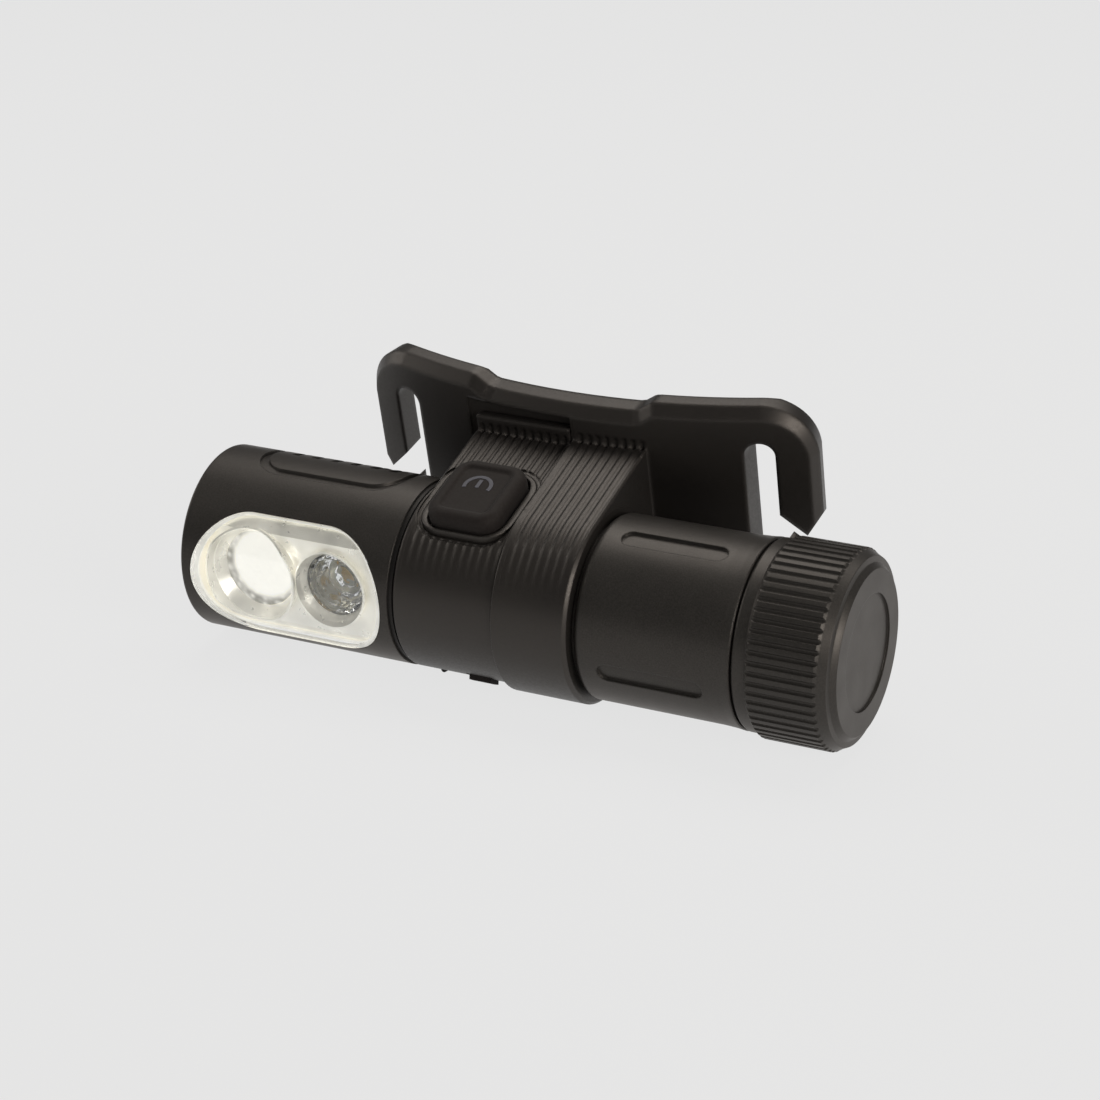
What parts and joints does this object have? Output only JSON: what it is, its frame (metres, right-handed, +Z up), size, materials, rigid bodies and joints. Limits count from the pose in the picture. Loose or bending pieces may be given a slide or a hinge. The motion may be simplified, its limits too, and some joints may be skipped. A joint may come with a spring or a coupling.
{
  "type": "right-angle headlamp torch with strap bracket",
  "caption": "Right-angle torch with a side window over a wide and a narrow optic, turning in the ring of a moulded strap bracket; sloped button, knurled screw cap.",
  "frame": {"origin": "middle of the box round the object, at the surface it stands on", "axes": "+X along the torch towards the screw cap, -Y the way the light leaves, +Z up"},
  "size_m": [0.1082, 0.0458, 0.045],
  "materials": {
    "anodised": "satin black anodised, fine blasted grain",
    "nylon": "black moulded nylon",
    "soft_rubber": "matt moulded rubber",
    "seal_rubber": "smooth seal rubber",
    "window": "clear polished",
    "optic": "clear moulded optic",
    "silvered": "bright metallised",
    "core_board": "white masked metal-core board",
    "circuit": "green circuit board",
    "emitter": "yellow phosphor",
    "steel": "bright steel",
    "contact_brass": "bright brass",
    "insulator": "white moulded plastic",
    "cell_wrap": "shrink wrap on a metal can"
  },
  "bodies": {
    "bracket": {"bracket": "nylon"},
    "lamp": {"head_housing": "anodised", "window_lens": "window", "lens_gasket": "seal_rubber", "optic_frame": "silvered", "flood_optic": "optic", "spot_optic": "optic", "led_board": "core_board", "flood_led": "emitter", "spot_led": "emitter", "board_screws": "steel", "driver_board": "circuit", "seam_ring": "seal_rubber", "switch_housing": "nylon", "switch_board": "circuit", "tact_switch": "steel", "charging_port": "steel", "contact_carrier": "insulator", "front_contact": "contact_brass", "battery_tube": "anodised", "tube_seals": "seal_rubber", "battery_cell": "cell_wrap", "battery_terminal": "steel"},
    "button": {"button": "soft_rubber"},
    "port_cover": {"port_cover": "soft_rubber"},
    "tail_slide": {"tail_spring": "contact_brass"},
    "tail_cap": {"tail_cap": "anodised", "tail_contact": "contact_brass", "retaining_ring": "steel"}
  },
  "joints": [
    {"name": "lamp_tilt", "type": "hinge", "parent": "bracket", "child": "lamp", "pos_m": [0, -0.00758, 0.0153], "axis": [1, 0, 0], "range_deg": [0, 45]},
    {"name": "button_press", "type": "slide", "parent": "lamp", "child": "button", "axis": [0, 0.342, -0.9397], "range_m": [0, 0.0008], "stiffness_N_per_m": 2500},
    {"name": "port_swing", "type": "hinge", "parent": "lamp", "child": "port_cover", "pos_m": [-0.0135, -0.00899, 0.00092], "axis": [0, 0.9952, -0.0976], "range_deg": [0, 110]},
    {"name": "cap_travel", "type": "slide", "parent": "lamp", "child": "tail_slide", "axis": [1, 0, 0], "range_m": [0, 0.005]},
    {"name": "cap_turn", "type": "hinge", "parent": "tail_slide", "child": "tail_cap", "pos_m": [0.046, -0.00758, 0.0153], "axis": [1, 0, 0], "range_deg": [0, 1440.8]}
  ],
  "couplings": [
    {"joint": "cap_turn", "follows": "cap_travel", "rad_per_m": 5026.5}
  ]
}
